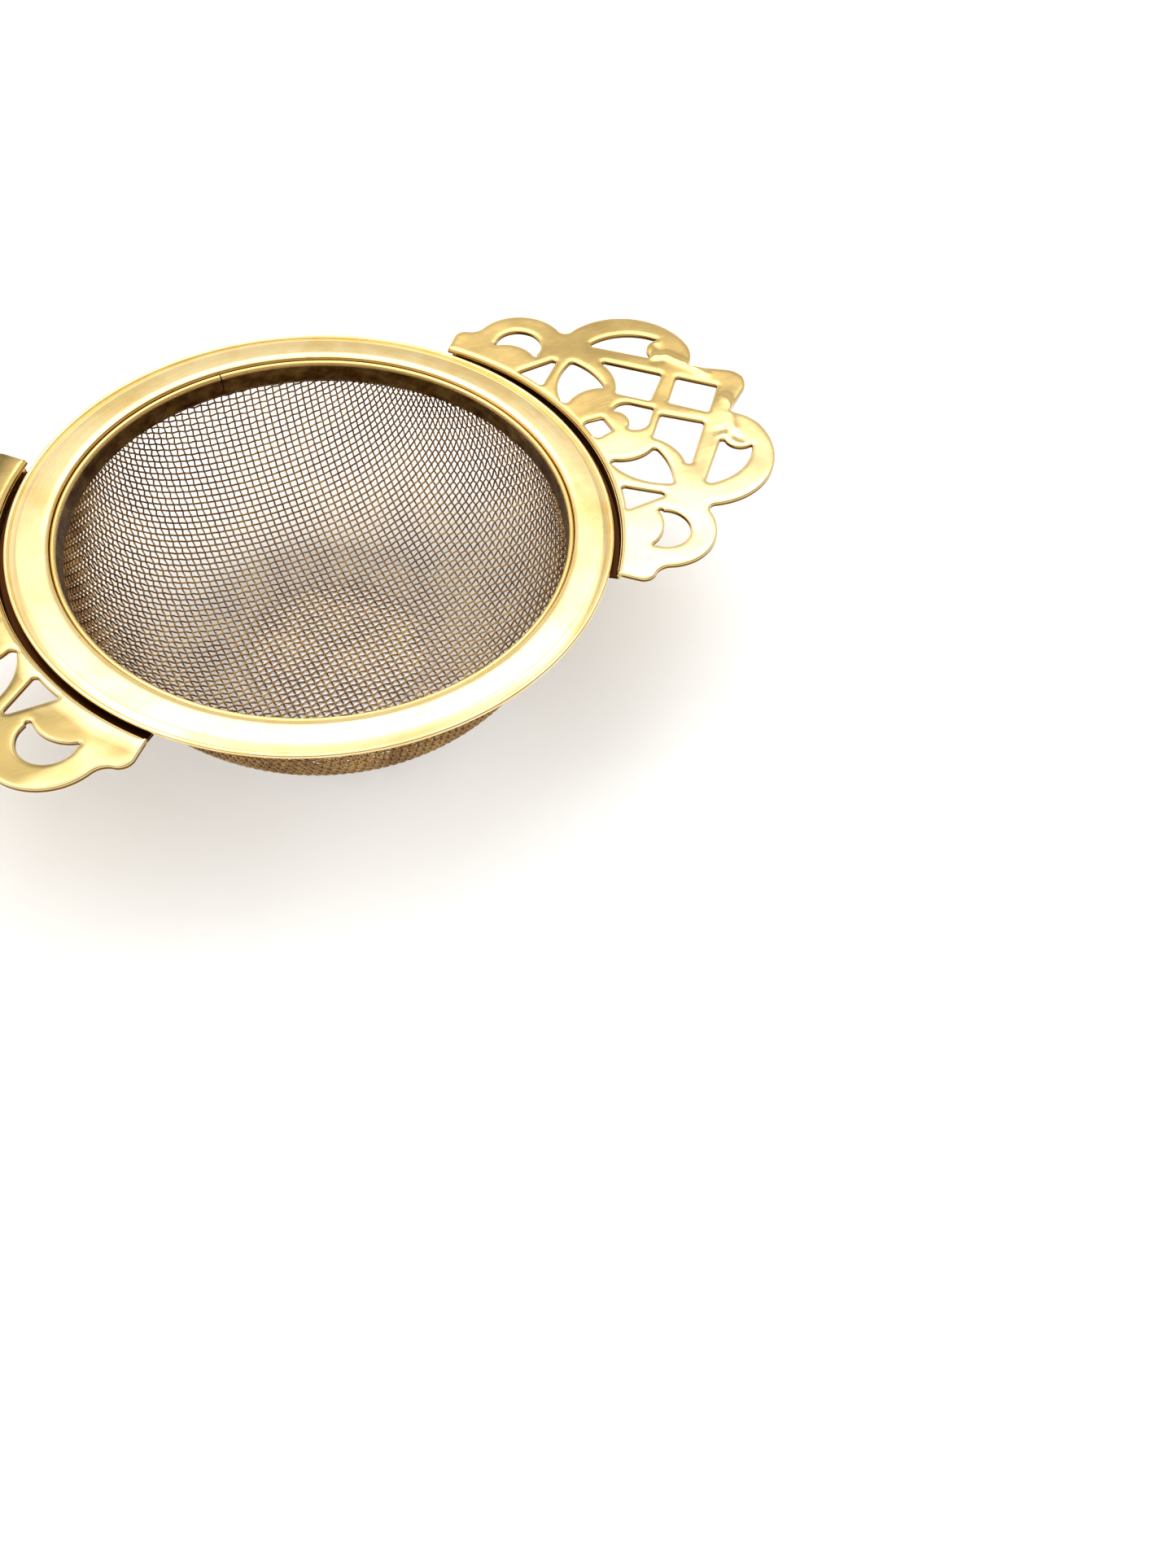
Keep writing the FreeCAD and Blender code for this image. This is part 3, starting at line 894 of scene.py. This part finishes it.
def handle_finish():
    """Pressed sheet: satin, with a fine grain, small dents and scratches, and a painted dark
    reflection on the cut edges.

    It carries a painted highlight towards -Y, painted shade on the flat of the left handle, at -X,
    and painted shade in the gap under the rim.
    """
    s = Shader("gilt_sheet")
    cloud = s.noise(110.0, 4.0, 0.6)
    grain = s.noise(2600.0, 3.0, 0.6)
    stretched = s.add("ShaderNodeMapping", {"Vector": s.place, "Rotation": (0, 0, 0.5),
                                            "Scale": (1.0, 14.0, 1.0)}).outputs[0]
    scratch = s.span(s.noise(420.0, 2.0, 0.5, stretched), 0.62, 0.70, 0.0, 1.0)
    color = s.blend(s.span(cloud, 0.35, 0.7, 0.0, 1.0), GOLD_SATIN, GOLD)
    color = s.blend(s.math("MULTIPLY", scratch, 0.18), color, GOLD_DEEP)
    parts = s.axes()
    # Painted highlight: the sheet is paler towards -Y.
    color = s.blend(s.span_mm(parts["Y"], -12, 1, 0.9, 0.0), color, GOLD_PALE)

    slope = math.tan(math.radians(HANDLE_RISE))
    rise = s.math("MULTIPLY", s.math("ABSOLUTE", parts["X"]), slope)
    hinge = (RIM_TOP + HANDLE_HINGE_Z - slope * HANDLE_HINGE_X) * MM
    depth = s.math("SUBTRACT", s.math("ADD", rise, hinge), parts["Z"])
    face = s.math("MULTIPLY", s.span_mm(depth, 0.015, 0.085, 1.0, 0.0),
                  s.span_mm(s.radius(), HANDLE_IN_R + 0.6, HANDLE_IN_R + 2.2, 0.1, 1.0))
    # Painted shade: patches of darker olive on the flat top of the left handle, at -X.
    left_flat_shade = s.math("MULTIPLY", s.span(s.noise(125.0, 2.0, 0.5), 0.34, 0.50, 0.45, 0.90),
                     s.math("MULTIPLY", face, s.span_mm(parts["X"], -1, 1, 1.0, 0.0)))
    color = s.blend(left_flat_shade, color, PAINTED_DARK_OLIVE)
    # Painted dark reflection on the walls of the punched holes, a little way below the top face.
    cut = s.math("MULTIPLY", s.span_mm(depth, 0.20, 0.33, 0.0, 1.0),
                 s.span_mm(depth, 0.52, 0.59, 1.0, 0.0))
    cut = s.math("MULTIPLY", cut,
                 s.span_mm(s.radius(), HANDLE_IN_R + 0.3, HANDLE_IN_R + 0.7, 0.3, 1.0))
    color = s.blend(cut, color, PAINTED_DARK_BRONZE)
    # Painted shade in the gap between rim and handle: the low shelf inside the turned-down edge is
    # darkened.
    inside = s.span_mm(s.radius(), HANDLE_IN_R + 0.02, HANDLE_IN_R + 0.3, 1.0, 0.0)
    low = s.span_mm(parts["Z"], RIM_TOP - 1.10, RIM_TOP - 0.70, 1.0, 0.0)
    gap_shade = s.math("MULTIPLY", inside, low)
    color = s.blend(gap_shade, color, PAINTED_DARK_UMBER)
    rough = s.math("ADD", s.span(cloud, 0.3, 0.7, 0.11, 0.19), s.math("MULTIPLY", grain, 0.05))
    s.bump(grain, 0.10, 0.00002)
    s.bump(s.noise(260.0, 2.0, 0.5), 0.16, 0.00016)
    s.bump(s.noise(85.0, 1.0, 0.4), 0.5, 0.0008)
    s.bump(scratch, 0.10, 0.00002)
    return s.finish(color, s.math("ADD", rough, s.math("MULTIPLY", gap_shade, 0.25)))


def collar_finish():
    """A bright bead, with painted shade on its outer side, over an inner wall with a streaked
    painted dark reflection.
    """
    s = Shader("gilt_collar")
    bead_mid = COLLAR_TOP_R + BEAD_R
    streaks = s.noise(1.0, 4.0, 0.6, s.polar(700.0, 9.0))
    patches = s.noise(420.0, 4.0, 0.65)
    # Painted dark reflection: the inner wall below the bead is darkened, with streaks.
    low = s.span_mm(s.axes()["Z"], RIM_TOP - 0.98, RIM_TOP - 0.78, 1.0, 0.0)
    # Painted shade on the bead's outer side, in the groove under the rim's lip.
    back = s.span_mm(s.radius(), bead_mid + 0.10, bead_mid + 0.24, 0.0, 0.35)
    wall_reflection_and_groove_shade = s.math("MAXIMUM", s.math("MULTIPLY", low, s.span(streaks, 0.3, 0.6, 0.86, 1.0)), back)
    # Colour of the painted dark reflection, in patches.
    dark = s.blend(s.span(patches, 0.45, 0.7, 0.0, 1.0), PAINTED_DARK_UMBER, PAINTED_REFLECTION_BROWN)
    color = s.blend(wall_reflection_and_groove_shade, GOLD, dark)
    rough = s.math("ADD", s.span(streaks, 0.3, 0.7, 0.14, 0.26), s.math("MULTIPLY", wall_reflection_and_groove_shade, 0.10))
    s.bump(s.noise(1400.0, 3.0, 0.6), 0.15, 0.00004)
    return s.finish(color, rough)


def wire_finish():
    """Fine brass wire, darkened in patches by tea."""
    s = Shader("gilt_wire")
    patch = s.noise(190.0, 4.0, 0.6)
    fine = s.noise(2400.0, 2.0, 0.5)
    color = s.blend(s.span(patch, 0.35, 0.65, 0.0, 1.0), WIRE_BROWN, WIRE_GOLD)
    color = s.blend(s.span(fine, 0.4, 0.7, 0.0, 0.5), color, WIRE_DARK)
    s.bump(fine, 0.2, 0.00002)
    return s.finish(color, s.span(fine, 0.3, 0.7, 0.18, 0.34))


def floor_finish():
    s = Shader("pale_floor")
    tone = s.blend(s.noise(6.0, 2.0, 0.5), *FLOOR_TONES)
    s.finish(tone, 0.7)
    s.surface.inputs["Metallic"].default_value = 0.0
    s.surface.inputs["Specular IOR Level"].default_value = 0.2
    return s.material


# ============================ stage, light, camera ============================
def stage_floor():
    turns = [2 * math.pi * k / FLOOR_SIDES for k in range(FLOOR_SIDES)]
    edge = [(FLOOR_R * math.cos(t), FLOOR_R * math.sin(t), 0) for t in turns]
    floor = new_object("floor", edge, [tuple(range(FLOOR_SIDES))], floor_finish(), smooth=False)


def softbox(name, place, aim, size, power, color):
    data = bpy.data.lights.new(name, "AREA")
    data.shape = "RECTANGLE"
    data.size, data.size_y = size
    data.energy = power
    data.color = color
    lamp = bpy.data.objects.new(name, data)
    bpy.context.scene.collection.objects.link(lamp)
    lamp.location = place
    lamp.rotation_mode = "QUATERNION"
    lamp.rotation_quaternion = (Vector(aim) - Vector(place)).to_track_quat("-Z", "Y")


def light():
    """A bright band of soft light high behind the object, dimmer overhead and in front."""
    world = bpy.data.worlds.new("studio")
    bpy.context.scene.world = world
    world.use_nodes = True
    tree = world.node_tree
    sky = tree.nodes["Background"]
    ray = tree.nodes.new("ShaderNodeTexCoord").outputs["Generated"]
    parts = tree.nodes.new("ShaderNodeSeparateXYZ")
    tree.links.new(ray, parts.inputs[0])

    # Brightness by the sine of the elevation, as (place, tone).
    stops = [(0.0, 0.80), (0.30, 0.92), (0.46, 0.86), (0.54, 0.70), (0.58, 0.64),
             (0.615, 0.63), (0.645, 0.92), (0.68, 1.2), (0.72, 2.1), (0.79, 3.0),
             (0.88, 2.7), (0.94, 1.6), (1.0, 1.4)]
    peak = max(tone for place, tone in stops)
    ramp = tree.nodes.new("ShaderNodeValToRGB")
    while len(ramp.color_ramp.elements) < len(stops):
        ramp.color_ramp.elements.new(0.5)
    for element, (place, tone) in zip(ramp.color_ramp.elements, stops):
        element.position = place
        element.color = (tone / peak, tone / peak, tone / peak, 1)
    tree.links.new(parts.outputs["Z"], ramp.inputs[0])

    # Dimmer in front, towards -Y, and a little brighter on the left, towards -X.
    level = ramp.outputs[0]
    tilts = (("Y", -0.7, 0.25, 0.45, 1.0), ("X", 0.45, -0.35, 1.0, 1.35))
    for axis, low, high, dim, full in tilts:
        side = tree.nodes.new("ShaderNodeMapRange")
        for name, value in (("From Min", low), ("From Max", high),
                            ("To Min", dim), ("To Max", full)):
            side.inputs[name].default_value = value
        tree.links.new(parts.outputs[axis], side.inputs["Value"])
        scaled = tree.nodes.new("ShaderNodeMath")
        scaled.operation = "MULTIPLY"
        tree.links.new(level, scaled.inputs[0])
        tree.links.new(side.outputs["Result"], scaled.inputs[1])
        level = scaled.outputs[0]
    gain = tree.nodes.new("ShaderNodeMath")
    gain.operation = "MULTIPLY"
    gain.inputs[1].default_value = peak
    tree.links.new(level, gain.inputs[0])
    tree.links.new(gain.outputs[0], sky.inputs["Strength"])
    sky.inputs["Color"].default_value = (1.0, 0.99, 0.97, 1)
    softbox("key", (0.25, 0.35, 0.75), (0.0, 0.0, 0.02), (0.6, 0.45), 0.6, (1.0, 0.985, 0.96))
    bpy.context.scene.view_settings.view_transform = "Standard"
    bpy.context.scene.view_settings.look = "None"


def camera():
    azimuth, elevation = math.radians(VIEW_AZIMUTH), math.radians(VIEW_ELEVATION)
    back = Vector((math.sin(azimuth) * math.cos(elevation),
                   -math.cos(azimuth) * math.cos(elevation), math.sin(elevation)))
    right = Vector((0, 0, 1)).cross(back).normalized()
    level = Matrix((right, back.cross(right), back))
    roll = Matrix.Rotation(math.radians(VIEW_ROLL), 3, "Z")
    seen = Vector((AIM_RIGHT, AIM_UP, -1)).normalized()
    turn = Vector((0, 0, -1)).rotation_difference(seen).to_matrix()
    spin = (turn @ roll @ level).transposed().to_4x4()
    middle = Vector((0, 0, RIM_TOP))
    data = bpy.data.cameras.new("view")
    data.lens = LENS
    data.sensor_width = SENSOR
    data.clip_start, data.clip_end = 0.01, 10
    cam = bpy.data.objects.new("view", data)
    bpy.context.scene.collection.objects.link(cam)
    cam.matrix_world = Matrix.Translation((middle + back * VIEW_DISTANCE) * MM) @ spin
    bpy.context.scene.camera = cam


# ============================ the scene =======================================
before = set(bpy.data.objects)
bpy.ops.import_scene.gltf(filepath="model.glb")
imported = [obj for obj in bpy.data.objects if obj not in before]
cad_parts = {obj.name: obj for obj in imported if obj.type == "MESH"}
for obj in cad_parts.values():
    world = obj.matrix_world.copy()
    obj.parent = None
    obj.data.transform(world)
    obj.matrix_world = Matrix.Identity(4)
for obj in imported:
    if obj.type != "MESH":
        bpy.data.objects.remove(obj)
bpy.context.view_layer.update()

band = rim_ring(rim_finish())
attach(band, "root")
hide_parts("rim_ring")

collar = inner_collar(collar_finish())
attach(collar, "root")
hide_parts("inner_collar")

wire_cloth(wire_finish())
handles(handle_finish())
stage_floor()
light()
camera()
